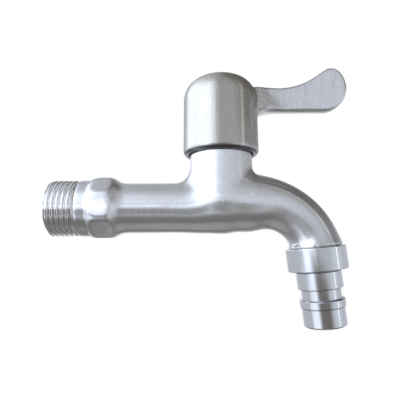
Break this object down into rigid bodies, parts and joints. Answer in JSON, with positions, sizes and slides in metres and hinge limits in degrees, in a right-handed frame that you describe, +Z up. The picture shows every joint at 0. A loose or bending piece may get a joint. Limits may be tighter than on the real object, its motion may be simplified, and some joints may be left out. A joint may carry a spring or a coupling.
{
  "type": "washing machine tap",
  "caption": "Quarter-turn washing machine tap with threaded wall inlet, spanner flats, domed lever handle, swan-neck spout and stepped hose nozzle.",
  "frame": {"origin": "on the inlet axis, where the face of the wall fitting comes when the inlet thread is screwed home", "axes": "+X along the inlet axis, away from the wall; +Z up along the handle's axis; +Y to the left seen from the wall"},
  "size_m": [0.1132, 0.0288, 0.099],
  "materials": {
    "body_steel": "satin polished cast stainless steel",
    "handle_steel": "upright brushed stainless steel",
    "nozzle_steel": "bright turned stainless steel",
    "cartridge_brass": "bright turned brass",
    "screw_steel": "plain bright steel",
    "ceramic": "ground white alumina ceramic",
    "white_plastic": "natural slippery plastic",
    "black_rubber": "matt black rubber"
  },
  "bodies": {
    "tap": {"tap_body": "body_steel", "hose_nozzle": "nozzle_steel", "nozzle_gasket": "black_rubber", "cartridge_housing": "cartridge_brass", "housing_gasket": "black_rubber", "seat_seal": "black_rubber", "fixed_disc": "ceramic", "glide_washer": "white_plastic"},
    "turning_parts": {"handle": "handle_steel", "spline_insert": "cartridge_brass", "screw_washer": "screw_steel", "handle_screw": "screw_steel", "screw_cap": "handle_steel", "spindle": "cartridge_brass", "spindle_clip": "screw_steel", "lower_o_ring": "black_rubber", "upper_o_ring": "black_rubber", "moving_disc": "ceramic"}
  },
  "joints": [
    {"name": "handle_turn", "type": "hinge", "parent": "tap", "child": "turning_parts", "pos_m": [0.0555, 0, 0.0356], "axis": [0, 0, 1], "range_deg": [0, 90]}
  ]
}
